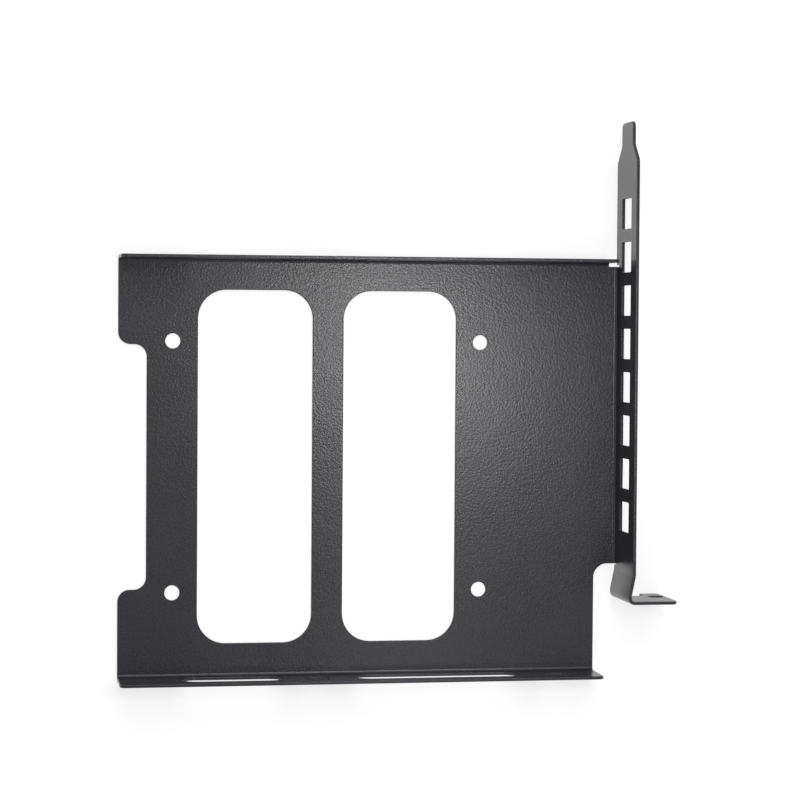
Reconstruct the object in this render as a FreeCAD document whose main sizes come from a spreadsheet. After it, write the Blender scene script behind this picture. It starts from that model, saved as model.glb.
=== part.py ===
import FreeCAD, Part
import math
import os
import Sketcher

# A drive bracket for a computer's expansion slot, folded from one steel sheet, in millimetres.
# The plate lies on its underside at Z = 0. X runs towards the slot strip, Y towards the strip's tongue,
# and the flanges and the strip stand up along Z. The origin is the middle of the four drive holes.

doc = FreeCAD.newDocument("drive_bracket")
sheet = doc.addObject("Spreadsheet::Sheet", "sizes")

driving_sizes = [
    ("sheet_thickness", 0.8, "steel sheet, with its coating"),
    ("bend_radius", 0.8, "inside of every right-angle bend"),
    ("drive_span_x", 76.6, "drive holes, along X"),
    ("drive_span_y", 61.72, "drive holes, along Y"),
    ("drive_hole_diameter", 3.7, "clearance for an M3 screw"),
    ("plate_left", 51.6, "origin to the plate's left edge"),
    ("plate_right", 67.9, "origin to the right edge of the lower corner"),
    ("bay_width", 102.4, "between the flanges, a wide drive and its clearance"),
    ("bay_offset", 0.3, "middle of the bay, below the origin"),
    ("flange_height", 13.0, "underside to the flanges' rims"),
    ("flange_right", 71.2, "origin to the right end of the upper flange"),
    ("flange_corner", 1.5, "radius at the ends of the rims"),
    ("window_width", 28.3, "each plate window, along X"),
    ("window_height", 86.9, "each plate window, along Y"),
    ("window_radius", 7.0, "window corners"),
    ("web_width", 7.7, "bar between the windows"),
    ("recess_depth", 6.95, "step in the left edge, along X"),
    ("recess_height", 60.0, "step in the left edge, along Y"),
    ("recess_radius", 3.0, "corners of that step"),
    ("long_slot_start", 6.3, "origin to the long flange slot"),
    ("long_slot_length", 41.2, "long flange slot, end to end"),
    ("short_slot_start", 36.2, "origin to the far end of the short flange slot"),
    ("short_slot_length", 24.9, "short flange slot, end to end"),
    ("flange_slot_width", 7.4, "both flange slots, along Z"),
    ("flange_slot_rise", 5.1, "plate's face to the middle of the flange slots"),
    ("side_hole_first", 3.0, "origin to the left side hole"),
    ("side_hole_pitch", 60.0, "side holes of a wide drive"),
    ("side_hole_length", 6.0, "side hole, end to end"),
    ("side_hole_width", 3.6, "side hole, along Z"),
    ("side_hole_rise", 6.35, "plate's face to the side holes"),
    ("strip_face", 74.2, "origin to the strip's outer face"),
    ("strip_width", 18.42, "slot strip, along Z"),
    ("strip_top", 85.7, "origin to the tongue's end"),
    ("strip_length", 119.0, "tongue's end to the tab's lower face"),
    ("tongue_width", 10.19, "tongue, along Z"),
    ("tongue_length", 5.7, "straight part of the tongue"),
    ("tongue_corner", 1.6, "corners of the tongue's end"),
    ("shoulder_length", 4.0, "taper from the tongue to the full width"),
    ("shoulder_radius", 2.0, "blends of that taper"),
    ("foot_height", 8.6, "tab's lower face to the lower end of the fold"),
    ("notch_radius", 3.5, "inner corner beside the lower end of the fold"),
    ("slit_height", 2.2, "slits at the ends of the fold, along Z"),
    ("upper_slit", 0.5, "slit at the fold's upper end, along Y"),
    ("lower_slit", 0.2, "slit at the fold's lower end, along Y"),
    ("foot_corner", 0.9, "corner of the strip's foot beside that slit"),
    ("vent_count", 8, "vents in the strip"),
    ("vent_first", 22.6, "tongue's end to the middle of the top vent"),
    ("vent_last", 12.4, "lower end of the fold to the middle of the last vent"),
    ("vent_length", 7.5, "vent, along Y"),
    ("vent_width", 8.5, "vent, along Z"),
    ("vent_radius", 0.4, "vent corners"),
    ("jog_gap", 1.5, "lower end of the fold to the start of the jog"),
    ("jog_length", 4.8, "jog, along Y"),
    ("jog_depth", 1.0, "jog, inwards"),
    ("jog_radius", 3.0, "inside of the jog's two easy bends"),
    ("tab_reach", 10.7, "strip's outer face to the tab's end"),
    ("tab_corner", 1.5, "corners of the tab's end"),
    ("screw_hole_diameter", 4.0, "hole for the case screw"),
    ("screw_hole_inset", 2.6, "tab's end to the middle of that hole"),
    ("screw_hole_rise", 7.4, "strip's lower edge to the middle of that hole, along Z"),
    ("tab_cut_width", 5.0, "cut beside the tab's bend, along Z"),
    ("tab_finger", 4.8, "tab's end to that cut"),
]
for row, (alias, size, note) in enumerate(driving_sizes, start=1):
    sheet.set(f"A{row}", alias)
    sheet.set(f"B{row}", str(size))
    sheet.set(f"C{row}", note)
    sheet.setAlias(f"B{row}", alias)
doc.recompute()

body = doc.addObject("PartDesign::Body", "folded_bracket")
body.Label = "folded_bracket"
origin = {feature.Role: feature for feature in body.Origin.OriginFeatures}

# Places that several features share, as expressions in the driving sizes
inner_bend = "sizes.bend_radius"
outer_bend = "(sizes.bend_radius + sizes.sheet_thickness)"
left_edge = "(-sizes.plate_left)"
bay_low = "(-sizes.bay_width / 2 - sizes.bay_offset)"
bay_high = "(sizes.bay_width / 2 - sizes.bay_offset)"
flange_low = f"({bay_low} - sizes.sheet_thickness)"
flange_high = f"({bay_high} + sizes.sheet_thickness)"
strip_inner = "(sizes.strip_face - sizes.sheet_thickness)"
strip_middle = "(sizes.strip_width / 2)"
tab_low = "(sizes.strip_top - sizes.strip_length)"
tab_high = f"({tab_low} + sizes.sheet_thickness)"
tab_end = "(sizes.strip_face + sizes.tab_reach)"
fold_low = f"({tab_low} + sizes.foot_height)"
fold_high = f"({bay_high} - sizes.bend_radius)"
jog_start = f"({fold_low} - sizes.jog_gap)"
jog_end = f"({jog_start} - sizes.jog_length)"
foot_inner = f"({strip_inner} - sizes.jog_depth)"
foot_outer = "(sizes.strip_face - sizes.jog_depth)"
tongue_low = "((sizes.strip_width - sizes.tongue_width) / 2)"
tongue_high = "((sizes.strip_width + sizes.tongue_width) / 2)"
shoulder_high = "(sizes.strip_top - sizes.tongue_length)"
shoulder_low = f"({shoulder_high} - sizes.shoulder_length)"
endless = ("-1000", "1000")
slack = 1e-4
least_cut = 0.01


def number(expression):
    """The present value of an expression in the driving sizes."""
    return float(body.evalExpression(expression))


def new_sketch(name, plane, offset="0"):
    """A sketch on one of the body's origin planes, moved along the plane's normal."""
    sketch = body.newObject("Sketcher::SketchObject", name)
    sketch.AttachmentSupport = [(origin[plane], "")]
    sketch.MapMode = "FlatFace"
    sketch.setExpression("AttachmentOffset.Base.z", offset)
    return sketch


def drive(sketch, kind, places, expression):
    """Adds a sized constraint and binds it to the driving sizes."""
    index = sketch.addConstraint(Sketcher.Constraint(kind, *places, number(expression)))
    sketch.setExpression(f"Constraints[{index}]", expression)


def pin(sketch, geometry, end, across, up):
    """Ties one point of a sketch to its place, measured from the sketch's origin."""
    drive(sketch, "DistanceX", (-1, 1, geometry, end), across)
    drive(sketch, "DistanceY", (-1, 1, geometry, end), up)


def polygon(sketch, corners):
    """A closed outline with straight sides through the given corners."""
    points = [FreeCAD.Vector(number(across), number(up), 0) for across, up in corners]
    count = len(points)
    for index in range(count):
        sketch.addGeometry(Part.LineSegment(points[index], points[(index + 1) % count]), False)
    for index in range(count):
        sketch.addConstraint(Sketcher.Constraint("Coincident", index, 2, (index + 1) % count, 1))
    for index, (across, up) in enumerate(corners):
        pin(sketch, index, 1, across, up)


def circle(sketch, across, up, diameter):
    """A round hole."""
    centre = FreeCAD.Vector(number(across), number(up), 0)
    radius = f"{diameter} / 2"
    round_hole = Part.Circle(centre, FreeCAD.Vector(0, 0, 1), number(radius))
    index = sketch.addGeometry(round_hole, False)
    pin(sketch, index, 3, across, up)
    drive(sketch, "Radius", (index,), radius)


def slot(sketch, left, right, height, width):
    """A slot with half-round ends, from its left end to its right end, about a middle height."""
    radius = f"{width} / 2"
    low_x, high_x = f"({left} + {radius})", f"({right} - {radius})"
    r, y = number(radius), number(height)
    normal = FreeCAD.Vector(0, 0, 1)
    ends = []
    for across, start in ((low_x, 90), (high_x, -90)):
        rim = Part.Circle(FreeCAD.Vector(number(across), y, 0), normal, r)
        half_turn = Part.ArcOfCircle(rim, math.radians(start), math.radians(start + 180))
        ends.append(sketch.addGeometry(half_turn, False))
    sides = []
    for begin, finish, rise in ((low_x, high_x, -r), (high_x, low_x, r)):
        corner = FreeCAD.Vector(number(begin), y + rise, 0)
        opposite = FreeCAD.Vector(number(finish), y + rise, 0)
        sides.append(sketch.addGeometry(Part.LineSegment(corner, opposite), False))
    chain = [ends[0], sides[0], ends[1], sides[1]]
    for index, geometry in enumerate(chain):
        following = chain[(index + 1) % len(chain)]
        sketch.addConstraint(Sketcher.Constraint("Tangent", geometry, 2, following, 1))
    for geometry, across in zip(ends, (low_x, high_x)):
        pin(sketch, geometry, 3, across, height)
        drive(sketch, "Radius", (geometry,), radius)


def pad(name, sketch, length):
    """Adds a sketch's outline, drawn out along the sketch's normal."""
    feature = body.newObject("PartDesign::Pad", name)
    feature.Profile = sketch
    feature.setExpression("Length", length)
    doc.recompute()
    return feature


def pocket(name, sketch, length=None, side="One side", upwards=False):
    """Cuts a sketch's outline out of the sheet, right through where no length is given."""
    before = body.Tip.Shape.Volume
    feature = body.newObject("PartDesign::Pocket", name)
    feature.Profile = sketch
    feature.SideType = side
    feature.Reversed = upwards
    if length is None:
        feature.Type = "ThroughAll"
    else:
        feature.setExpression("Length", length)
    doc.recompute()
    if feature.Shape.Volume > before - least_cut:
        raise RuntimeError(f"{name} cuts nothing")
    return feature


def edges_along(shape, axis, spots, span):
    """Names of the straight edges along an axis, through the given spots and inside a span of that axis."""
    others = [letter for letter in "xyz" if letter != axis]
    places = [tuple(number(place) for place in spot) for spot in spots]
    low, high = (number(end) for end in span)
    names = []
    for index, edge in enumerate(shape.Edges, start=1):
        if edge.Curve.TypeId != "Part::GeomLine":
            continue
        first, last = edge.Vertexes[0].Point, edge.Vertexes[-1].Point
        near, far = sorted(getattr(point, axis) for point in (first, last))
        if far - near < edge.Length - slack or near < low - slack or far > high + slack:
            continue
        at = [getattr(first, letter) for letter in others]
        if any(abs(at[0] - p) < slack and abs(at[1] - q) < slack for p, q in places):
            names.append(f"Edge{index}")
    return names


def round_edges(name, axis, spots, radius, span=endless):
    """Rounds the edges that run along an axis through the given spots."""
    base = body.Tip
    names = edges_along(base.Shape, axis, spots, span)
    if len(names) < len(spots):
        raise RuntimeError(f"{name} finds {len(names)} of {len(spots)} edges")
    feature = body.newObject("PartDesign::Fillet", name)
    feature.Base = (base, names)
    feature.setExpression("Radius", radius)
    doc.recompute()
    return feature


# Strip with its tongue: an outline in Y and Z, one sheet thick
strip_outline = new_sketch("strip_outline", "YZ_Plane", strip_inner)
polygon(strip_outline, [
    (jog_start, "0"),
    (shoulder_low, "0"),
    (shoulder_high, tongue_low),
    ("sizes.strip_top", tongue_low),
    ("sizes.strip_top", tongue_high),
    (shoulder_high, tongue_high),
    (shoulder_low, "sizes.strip_width"),
    (jog_start, "sizes.strip_width"),
])
pad("strip", strip_outline, "sizes.sheet_thickness")
round_edges("tongue_corners", "x", [("sizes.strip_top", tongue_low), ("sizes.strip_top", tongue_high)],
            "sizes.tongue_corner")
round_edges("shoulder_blends", "x", [
    (shoulder_low, "0"),
    (shoulder_high, tongue_low),
    (shoulder_high, tongue_high),
    (shoulder_low, "sizes.strip_width"),
], "sizes.shoulder_radius")

# Foot of the strip: the jog inwards, then the screw tab turned outwards
foot_profile = new_sketch("foot_profile", "XY_Plane")
polygon(foot_profile, [
    (strip_inner, jog_start),
    ("sizes.strip_face", jog_start),
    (foot_outer, jog_end),
    (foot_outer, tab_high),
    (tab_end, tab_high),
    (tab_end, tab_low),
    (foot_inner, tab_low),
    (foot_inner, jog_end),
])
pad("foot", foot_profile, "sizes.strip_width")
round_edges("tab_bend_inside", "z", [(foot_outer, tab_high)], inner_bend)
round_edges("tab_bend_outside", "z", [(foot_inner, tab_low)], outer_bend)
round_edges("jog_inside", "z", [(strip_inner, jog_start), (foot_outer, jog_end)], "sizes.jog_radius")
round_edges("jog_outside", "z", [("sizes.strip_face", jog_start), (foot_inner, jog_end)],
            "sizes.jog_radius + sizes.sheet_thickness")

# Slits at both ends of the fold, which free the strip's edge beside it
slit_low = f"({fold_low} - sizes.lower_slit)"
slit_high = f"({fold_high} + sizes.upper_slit)"
slit_outline = new_sketch("slit_outline", "YZ_Plane", strip_inner)
polygon(slit_outline, [
    (slit_low, "0"),
    (slit_high, "0"),
    (slit_high, "sizes.slit_height"),
    (slit_low, "sizes.slit_height"),
])
pocket("slits", slit_outline, "sizes.sheet_thickness", upwards=True)
round_edges("foot_corner", "x", [(slit_low, "0")], "sizes.foot_corner")

# Fold that joins the strip to the plate
fold_profile = new_sketch("fold_profile", "XZ_Plane", f"-{fold_high}")
polygon(fold_profile, [
    ("sizes.plate_right", "0"),
    ("sizes.strip_face", "0"),
    ("sizes.strip_face", "sizes.slit_height"),
    (strip_inner, "sizes.slit_height"),
    (strip_inner, "sizes.sheet_thickness"),
    ("sizes.plate_right", "sizes.sheet_thickness"),
])
pad("fold", fold_profile, f"{fold_high} - {fold_low}")
round_edges("fold_inside", "y", [(strip_inner, "sizes.sheet_thickness")], inner_bend)
round_edges("fold_outside", "y", [("sizes.strip_face", "0")], outer_bend, (fold_low, fold_high))

# Channel: the plate between its two flanges
channel_profile = new_sketch("channel_profile", "YZ_Plane", left_edge)
polygon(channel_profile, [
    (flange_low, "0"),
    (flange_high, "0"),
    (flange_high, "sizes.flange_height"),
    (bay_high, "sizes.flange_height"),
    (bay_high, "sizes.sheet_thickness"),
    (bay_low, "sizes.sheet_thickness"),
    (bay_low, "sizes.flange_height"),
    (flange_low, "sizes.flange_height"),
])
pad("channel", channel_profile, "sizes.plate_left + sizes.plate_right")

# The upper flange runs on beside the strip, past the lower corner
corner_profile = new_sketch("corner_profile", "YZ_Plane", "sizes.plate_right")
polygon(corner_profile, [
    (fold_high, "0"),
    (flange_high, "0"),
    (flange_high, "sizes.flange_height"),
    (bay_high, "sizes.flange_height"),
    (bay_high, "sizes.sheet_thickness"),
    (fold_high, "sizes.sheet_thickness"),
])
pad("corner", corner_profile, "sizes.flange_right - sizes.plate_right")
round_edges("flange_bends_inside", "x",
            [(bay_low, "sizes.sheet_thickness"), (bay_high, "sizes.sheet_thickness")], inner_bend)
round_edges("flange_bends_outside", "x", [(flange_low, "0"), (flange_high, "0")], outer_bend)
round_edges("rim_corners", "y", [
    (left_edge, "sizes.flange_height"),
    ("sizes.plate_right", "sizes.flange_height"),
    ("sizes.flange_right", "sizes.flange_height"),
], "sizes.flange_corner")
round_edges("notch_corner", "z", [("sizes.plate_right", fold_low)], "sizes.notch_radius")

# Step in the plate's left edge
recess_edge = f"({left_edge} + sizes.recess_depth)"
recess_high = "(sizes.recess_height / 2)"
recess_outline = new_sketch("recess_outline", "XY_Plane")
polygon(recess_outline, [
    (f"{left_edge} - sizes.recess_depth", f"-{recess_high}"),
    (recess_edge, f"-{recess_high}"),
    (recess_edge, recess_high),
    (f"{left_edge} - sizes.recess_depth", recess_high),
])
pocket("recess", recess_outline, upwards=True)
round_edges("recess_corners", "z", [
    (left_edge, f"-{recess_high}"),
    (recess_edge, f"-{recess_high}"),
    (recess_edge, recess_high),
    (left_edge, recess_high),
], "sizes.recess_radius")

# Two windows, one each side of the web
window_near = "(sizes.web_width / 2)"
window_far = "(sizes.web_width / 2 + sizes.window_width)"
window_high = "(sizes.window_height / 2)"
window_corners = [
    (window_near, f"-{window_high}"),
    (window_far, f"-{window_high}"),
    (window_far, window_high),
    (window_near, window_high),
]
window_outline = new_sketch("window_outline", "XY_Plane")
polygon(window_outline, window_corners)
window = pocket("window", window_outline, upwards=True)
windows = body.newObject("PartDesign::Mirrored", "windows")
windows.Originals = [window]
windows.MirrorPlane = (origin["YZ_Plane"], [""])
body.Tip = windows
doc.recompute()
round_edges("window_corners", "z",
            window_corners + [(f"-{across}", up) for across, up in window_corners], "sizes.window_radius")

# Four holes for a small drive
hole_outline = new_sketch("hole_outline", "XY_Plane")
for side in ("", "-"):
    for end in ("", "-"):
        circle(hole_outline, f"{side}(sizes.drive_span_x / 2)", f"{end}(sizes.drive_span_y / 2)",
               "sizes.drive_hole_diameter")
pocket("drive_holes", hole_outline, upwards=True)

# Slots and side holes, through both flanges
slot_middle = "(sizes.sheet_thickness + sizes.flange_slot_rise)"
hole_middle = "(sizes.sheet_thickness + sizes.side_hole_rise)"
flange_outline = new_sketch("flange_outline", "XZ_Plane")
slot(flange_outline, "-sizes.short_slot_start", "(sizes.short_slot_length - sizes.short_slot_start)",
     slot_middle, "sizes.flange_slot_width")
slot(flange_outline, "sizes.long_slot_start", "(sizes.long_slot_start + sizes.long_slot_length)",
     slot_middle, "sizes.flange_slot_width")
for centre in ("(-sizes.side_hole_first)", "(sizes.side_hole_pitch - sizes.side_hole_first)"):
    hole_left = f"({centre} - sizes.side_hole_length / 2)"
    hole_right = f"({centre} + sizes.side_hole_length / 2)"
    slot(flange_outline, hole_left, hole_right, hole_middle, "sizes.side_hole_width")
pocket("flange_openings", flange_outline, side="Symmetric")

# Row of vents down the strip
vent_low = f"({strip_middle} - sizes.vent_width / 2)"
vent_high = f"({strip_middle} + sizes.vent_width / 2)"
vent_top = "(sizes.strip_top - sizes.vent_first)"
vent_pitch = f"(({vent_top} - {fold_low} - sizes.vent_last) / (sizes.vent_count - 1))"
vent_left = f"({vent_top} - sizes.vent_length / 2)"
vent_right = f"({vent_top} + sizes.vent_length / 2)"
vent_outline = new_sketch("vent_outline", "YZ_Plane", strip_inner)
polygon(vent_outline, [
    (vent_left, vent_low),
    (vent_right, vent_low),
    (vent_right, vent_high),
    (vent_left, vent_high),
])
vent = pocket("vent", vent_outline, "sizes.sheet_thickness", upwards=True)
vents = body.newObject("PartDesign::LinearPattern", "vents")
vents.Originals = [vent]
vents.Direction = (origin["Y_Axis"], [""])
vents.Reversed = True
vents.Mode = "Spacing"
vents.setExpression("Offset", vent_pitch)
vents.setExpression("Occurrences", "sizes.vent_count")
body.Tip = vents
doc.recompute()
vent_corners = []
for place in range(int(number("sizes.vent_count"))):
    step = f"{place} * {vent_pitch}"
    for up in (vent_low, vent_high):
        vent_corners += [(f"{vent_left} - {step}", up), (f"{vent_right} - {step}", up)]
round_edges("vent_corners", "x", vent_corners, "sizes.vent_radius")

# Tab: a cut beside its bend, round corners and a hole for the case screw
tab_outline = new_sketch("tab_outline", "XZ_Plane", f"-{tab_low}")
cut_left = f"({foot_outer} + sizes.bend_radius)"
cut_right = f"({tab_end} - sizes.tab_finger)"
polygon(tab_outline, [
    (cut_left, "0"),
    (cut_right, "0"),
    (cut_right, "sizes.tab_cut_width"),
    (cut_left, "sizes.tab_cut_width"),
])
pocket("tab_cut", tab_outline, "sizes.sheet_thickness")
round_edges("tab_corners", "y", [(tab_end, "0"), (tab_end, "sizes.strip_width")], "sizes.tab_corner")
screw_outline = new_sketch("screw_outline", "XZ_Plane", f"-{tab_low}")
circle(screw_outline, f"({tab_end} - sizes.screw_hole_inset)", "sizes.screw_hole_rise",
       "sizes.screw_hole_diameter")
pocket("screw_hole", screw_outline, "sizes.sheet_thickness")

# The finished solid is written only when every feature has been built
doc.recompute()
for item in doc.Objects:
    if "Invalid" in item.State or "Error" in item.State:
        raise RuntimeError(f"{item.Name} failed: {item.State}")
shape = body.Shape
if shape.isNull() or not shape.isValid() or len(shape.Solids) != 1:
    raise RuntimeError("the bracket is not one valid solid")
os.makedirs("parts", exist_ok=True)
shape.exportStep(f"parts/{body.Label}.step")
print(f"{body.Label}: {shape.Volume:.1f} mm3, box {shape.BoundBox}")
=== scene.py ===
import math
import bmesh
import bpy
import numpy as np
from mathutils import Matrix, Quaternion, Vector


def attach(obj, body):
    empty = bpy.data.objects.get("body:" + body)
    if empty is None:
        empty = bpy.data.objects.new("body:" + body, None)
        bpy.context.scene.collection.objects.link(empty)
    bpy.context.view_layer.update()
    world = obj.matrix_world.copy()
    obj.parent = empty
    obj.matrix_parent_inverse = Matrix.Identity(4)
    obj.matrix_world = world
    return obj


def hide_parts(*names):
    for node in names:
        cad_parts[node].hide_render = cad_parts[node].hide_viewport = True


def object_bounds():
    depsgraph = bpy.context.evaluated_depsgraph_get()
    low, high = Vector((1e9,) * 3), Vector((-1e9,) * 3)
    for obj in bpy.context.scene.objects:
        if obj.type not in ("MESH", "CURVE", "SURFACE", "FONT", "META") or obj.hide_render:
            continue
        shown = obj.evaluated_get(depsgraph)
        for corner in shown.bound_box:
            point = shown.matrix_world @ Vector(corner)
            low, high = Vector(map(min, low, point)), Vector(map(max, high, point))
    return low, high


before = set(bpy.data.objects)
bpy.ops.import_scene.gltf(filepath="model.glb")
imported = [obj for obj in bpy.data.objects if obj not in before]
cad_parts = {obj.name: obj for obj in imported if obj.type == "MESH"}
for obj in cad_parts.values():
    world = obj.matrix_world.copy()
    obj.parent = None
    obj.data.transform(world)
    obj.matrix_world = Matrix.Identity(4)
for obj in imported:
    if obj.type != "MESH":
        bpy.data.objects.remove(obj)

mm = 0.001  # the scene is in metres, sizes below are written in millimetres
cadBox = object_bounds()
print("stage 1: frame loaded,", len(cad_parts), "node")


def linearColour(hexCode):  # sRGB hex to the linear values that shaders take
    parts = [int(hexCode[i:i + 2], 16) / 255 for i in (1, 3, 5)]
    return [p / 12.92 if p <= 0.04045 else ((p + 0.055) / 1.055) ** 2.4 for p in parts] + [1.0]


def addNode(tree, kind, inputs=None, **settings):
    # inputs: socket -> value, or socket -> (node, output) to link
    node = tree.nodes.new(kind)
    for name, value in settings.items():
        setattr(node, name, value)
    for socket, value in (inputs or {}).items():
        if isinstance(value, tuple) and isinstance(value[0], bpy.types.Node):
            tree.links.new(value[0].outputs[value[1]], node.inputs[socket])
        else:
            node.inputs[socket].default_value = value
    return node


def newMaterial(name):
    material = bpy.data.materials.new(name)
    material.use_nodes = True
    material.node_tree.nodes.clear()
    return material, material.node_tree


def newObject(name, data):
    thing = bpy.data.objects.new(name, data)
    bpy.context.scene.collection.objects.link(thing)
    return thing


coatLook = {
    "colour": "#242428",        # charcoal black
    "colourWorn": "#2e2e34",    # tops of the grain, a little paler
    "toneSpan": (0.1, 1.1),     # drift from the first colour to the second
    "roughness": 0.28,
    "roughnessSpread": 0.015,
    "cloudSpan": (0.3, 0.7),    # cloud levels over which the roughness drifts
    "ior": 1.41,
    "pebble": 0.60,             # mm, one grain of the texture to the next
    "pebbleBlend": 0.25,        # how far one grain runs into the next
    "ripple": 0.30,             # mm, fine waviness on the grains
    "rippleDetail": 1.0,
    "orangePeel": 3.0,          # mm, slow flow marks of the baked powder
    "orangePeelDetail": 2.0,
    "peelShare": 0.1,           # height of those marks against the grain
    "depth": 0.022,             # mm, height of the grain
    "cloud": 22.0,              # mm, slow drift of tone over the sheet
    "cloudDetail": 3.0,
}


def powderCoatedSteel(look):
    # polyester powder sprayed on steel sheet and baked: black and satin, with a fine
    # pebbled grain that breaks each highlight into speckle
    material, tree = newMaterial("powderCoatedSteel")
    place = addNode(tree, "ShaderNodeTexCoord")

    def pattern(kind, size, inputs, **settings):  # one repeat of the pattern is look[size] mm
        scale = 1 / (look[size] * mm)
        return addNode(tree, kind, {"Vector": (place, "Object"), "Scale": scale, **inputs},
                       **settings)

    pebble = pattern("ShaderNodeTexVoronoi", "pebble", {"Smoothness": look["pebbleBlend"]},
                     feature="SMOOTH_F1")
    ripple = pattern("ShaderNodeTexNoise", "ripple", {"Detail": look["rippleDetail"]})
    peel = pattern("ShaderNodeTexNoise", "orangePeel", {"Detail": look["orangePeelDetail"]})
    cloud = pattern("ShaderNodeTexNoise", "cloud", {"Detail": look["cloudDetail"]})

    # height: ripple less the distance to the nearest grain's middle, and a little orange peel
    grain = addNode(tree, "ShaderNodeMath", {0: (ripple, "Fac"), 1: (pebble, "Distance")},
                    operation="SUBTRACT")
    height = addNode(tree, "ShaderNodeMath",
                     {0: (peel, "Fac"), 1: look["peelShare"], 2: (grain, 0)},
                     operation="MULTIPLY_ADD")
    bump = addNode(tree, "ShaderNodeBump",
                   {"Distance": look["depth"] * mm, "Height": (height, 0)})

    # tone: paler on the grain's tops, with a slow drift over the sheet
    drift = addNode(tree, "ShaderNodeMath", {0: (cloud, "Fac"), 1: (grain, 0)}, operation="ADD")
    tone = addNode(tree, "ShaderNodeMapRange", {
        "Value": (drift, 0), "From Min": look["toneSpan"][0], "From Max": look["toneSpan"][1]})
    colour = addNode(tree, "ShaderNodeMix", {  # its sockets 6 and 7 are the two colours
        "Factor": (tone, 0), 6: linearColour(look["colour"]),
        7: linearColour(look["colourWorn"])}, data_type="RGBA")
    rough = addNode(tree, "ShaderNodeMapRange", {
        "Value": (cloud, "Fac"),
        "From Min": look["cloudSpan"][0], "From Max": look["cloudSpan"][1],
        "To Min": look["roughness"] - look["roughnessSpread"],
        "To Max": look["roughness"] + look["roughnessSpread"]})
    shader = addNode(tree, "ShaderNodeBsdfPrincipled", {
        "Base Color": (colour, 2), "Roughness": (rough, 0), "IOR": look["ior"],
        "Normal": (bump, 0)})
    addNode(tree, "ShaderNodeOutputMaterial", {"Surface": (shader, 0)})
    return material


coat = powderCoatedSteel(coatLook)
print("stage 2: finish made")

sheetPiece = {
    "node": "folded_bracket",
    "edgeRound": 0.16,          # mm, sheared edges under the coat
    "edgeSteps": 3,
    "sharpFrom": 40,            # degrees, flatter edges belong to bends and round corners
    "weld": 0.001,              # mm, loose triangles that share a point
    "flatWithin": 0.3,          # degrees, triangles of one flat face
    "evenWeight": 100,          # how far the large faces lead the shading of their edges
}


def coatedSheet(piece, material):
    # the node's own mesh, with its points merged, the edges inside flat faces taken out
    # and each sharp edge rounded to an arc
    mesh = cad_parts[piece["node"]].data.copy()
    work = bmesh.new()
    work.from_mesh(mesh)
    bmesh.ops.remove_doubles(work, verts=work.verts, dist=piece["weld"] * mm)
    bmesh.ops.dissolve_limit(work, angle_limit=math.radians(piece["flatWithin"]),
                             verts=work.verts, edges=work.edges)
    work.to_mesh(mesh)
    work.free()
    mesh.polygons.foreach_set("use_smooth", np.ones(len(mesh.polygons), dtype=bool))
    mesh.materials.clear()
    mesh.materials.append(material)
    sheet = newObject("coatedSheet", mesh)
    edge = sheet.modifiers.new("edgeRound", "BEVEL")
    edge.width = piece["edgeRound"] * mm
    edge.segments = piece["edgeSteps"]
    edge.limit_method = "ANGLE"
    edge.angle_limit = math.radians(piece["sharpFrom"])
    edge.use_clamp_overlap = False
    edge.miter_outer = "MITER_ARC"
    even = sheet.modifiers.new("evenShading", "WEIGHTED_NORMAL")
    even.weight = piece["evenWeight"]
    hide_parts(piece["node"])
    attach(sheet, "root")
    return sheet


sheet = coatedSheet(sheetPiece, coat)
print("stage 3: sheet made,", len(sheet.data.polygons), "faces before its edges are rounded")

stageLook = {
    "floorSize": 6000,          # mm
    "floorGap": 0.02,           # mm, floor below the sheet
    "floorColour": "#9c9c9c",
    "floorGlow": 0.68,          # lifts the floor to white for the eye, the shadow stays
    "farGlow": 0.81,            # the same where the lamps no longer reach
    "farFrom": (400, 1500),     # mm from the middle, over which the glow rises
    "surround": "#ffffff",
    "ambient": 0.6,             # level of the surround as a light
    "wall": 1.0,                # level of the white surround that the eye sees
    "ceiling": 0.48,            # level of the dark overhead that the plate mirrors
    "wallTop": (0.3, 0.75),     # height on the sky where the white surround ends
}


def seenDirectly(tree):  # 1 for rays that the eye, a mirror or a glass sends
    ray = addNode(tree, "ShaderNodeLightPath")
    seen = addNode(tree, "ShaderNodeMath",
                   {0: (ray, "Is Camera Ray"), 1: (ray, "Is Glossy Ray")}, operation="MAXIMUM")
    return addNode(tree, "ShaderNodeMath",
                   {0: (seen, 0), 1: (ray, "Is Transmission Ray")}, operation="MAXIMUM")


def mattPaper(look):
    # uncoated white paper: even, without gloss
    material, tree = newMaterial("mattPaper")

    # glow: rises with the distance from the sheet, so that the far floor meets the surround
    place = addNode(tree, "ShaderNodeTexCoord")
    reach = addNode(tree, "ShaderNodeVectorMath", {0: (place, "Object")}, operation="LENGTH")
    rise = addNode(tree, "ShaderNodeMapRange", {
        "Value": (reach, "Value"),
        "From Min": look["farFrom"][0] * mm, "From Max": look["farFrom"][1] * mm,
        "To Min": look["floorGlow"], "To Max": look["farGlow"]}, interpolation_type="SMOOTHSTEP")
    lift = addNode(tree, "ShaderNodeMath",
                   {0: (seenDirectly(tree), 0), 1: (rise, 0)}, operation="MULTIPLY")
    paper = addNode(tree, "ShaderNodeBsdfDiffuse", {"Color": linearColour(look["floorColour"])})
    glow = addNode(tree, "ShaderNodeEmission", {"Strength": (lift, 0)})
    both = addNode(tree, "ShaderNodeAddShader", {0: (paper, 0), 1: (glow, 0)})
    addNode(tree, "ShaderNodeOutputMaterial", {"Surface": (both, 0)})
    return material


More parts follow.
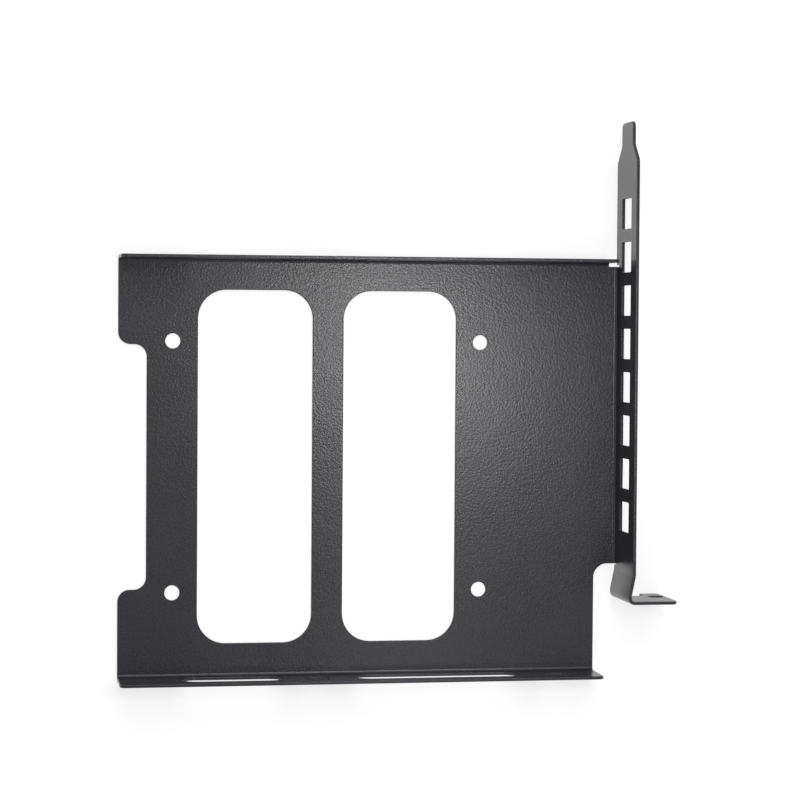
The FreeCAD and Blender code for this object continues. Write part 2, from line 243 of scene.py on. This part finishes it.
def whiteFloor(look):  # one square under the sheet
    half = look["floorSize"] * mm / 2
    z = cadBox[0][2] - look["floorGap"] * mm
    corners = [(-half, -half, z), (half, -half, z), (half, half, z), (-half, half, z)]
    mesh = bpy.data.meshes.new("floor")
    mesh.from_pydata(corners, [], [(0, 1, 2, 3)])
    mesh.materials.append(mattPaper(look))
    floor = newObject("floor", mesh)


def softWorld(look):  # white all round, darker overhead
    world = bpy.data.worlds.new("studio")
    bpy.context.scene.world = world
    world.use_nodes = True
    tree = world.node_tree
    tree.nodes.clear()
    place = addNode(tree, "ShaderNodeTexCoord")
    parts = addNode(tree, "ShaderNodeSeparateXYZ", {0: (place, "Generated")})
    backdrop = addNode(tree, "ShaderNodeMapRange", {
        "Value": (parts, "Z"),
        "From Min": look["wallTop"][0], "From Max": look["wallTop"][1],
        "To Min": look["wall"], "To Max": look["ceiling"]}, interpolation_type="SMOOTHSTEP")
    level = addNode(tree, "ShaderNodeMix", {  # its sockets 2 and 3 are the two levels
        0: (seenDirectly(tree), 0), 2: look["ambient"], 3: (backdrop, 0)}, data_type="FLOAT")
    background = addNode(tree, "ShaderNodeBackground", {
        "Color": linearColour(look["surround"]), "Strength": (level, 0)})
    addNode(tree, "ShaderNodeOutputWorld", {"Surface": (background, 0)})


lampLook = {  # place, aim and size in mm, spin in degrees, power in watts
    "key": {  # long highlight across the plate
        "place": (64.7, 28.5, 280), "aim": (18.7, 37.5, 0),
        "size": (86, 14), "spin": 49.5, "power": 0.216},
    "low": {  # faint lift at the plate's lower edge
        "place": (66, -90, 280), "aim": (20, -81, 0),
        "size": (47, 47), "spin": 0, "power": 0.024},
    "back": {  # broad and far off, for the shadow
        "place": (-40, 520, 760), "aim": (20, 0, 0),
        "size": (700, 700), "spin": 0, "power": 3.2},
}


def softLamp(name, look):
    lamp = bpy.data.lights.new(name, "AREA")
    lamp.shape = "ELLIPSE"
    lamp.size, lamp.size_y = look["size"][0] * mm, look["size"][1] * mm
    lamp.energy = look["power"]
    thing = newObject(name, lamp)
    thing.location = Vector(look["place"]) * mm
    way = (Vector(look["aim"]) - Vector(look["place"])).to_track_quat("-Z", "Y")
    spin = Quaternion((0, 0, 1), math.radians(look["spin"]))
    thing.rotation_euler = (way @ spin).to_euler()
    thing.visible_camera = False


whiteFloor(stageLook)
softWorld(stageLook)
for lampName, look in lampLook.items():
    softLamp(lampName, look)
print("stage 4: floor and light made")

cameraLook = {
    "place": (-86.1, 35.1, 600.0),  # mm
    "turn": (-1.82, -9.85, 0.40),   # degrees
    "lens": 110.3,                  # mm
    "sensor": 36.0,                 # mm
    "nearest": 10.0,                # mm, nothing closer is drawn
}


def photoCamera(look):
    camera = bpy.data.cameras.new("camera")
    camera.lens = look["lens"]
    camera.sensor_width = look["sensor"]
    camera.clip_start = look["nearest"] * mm
    thing = newObject("camera", camera)
    thing.location = Vector(look["place"]) * mm
    thing.rotation_euler = [math.radians(v) for v in look["turn"]]
    bpy.context.scene.camera = thing


photoCamera(cameraLook)
bpy.context.scene.view_settings.view_transform = "Standard"
print("stage 5: camera set")
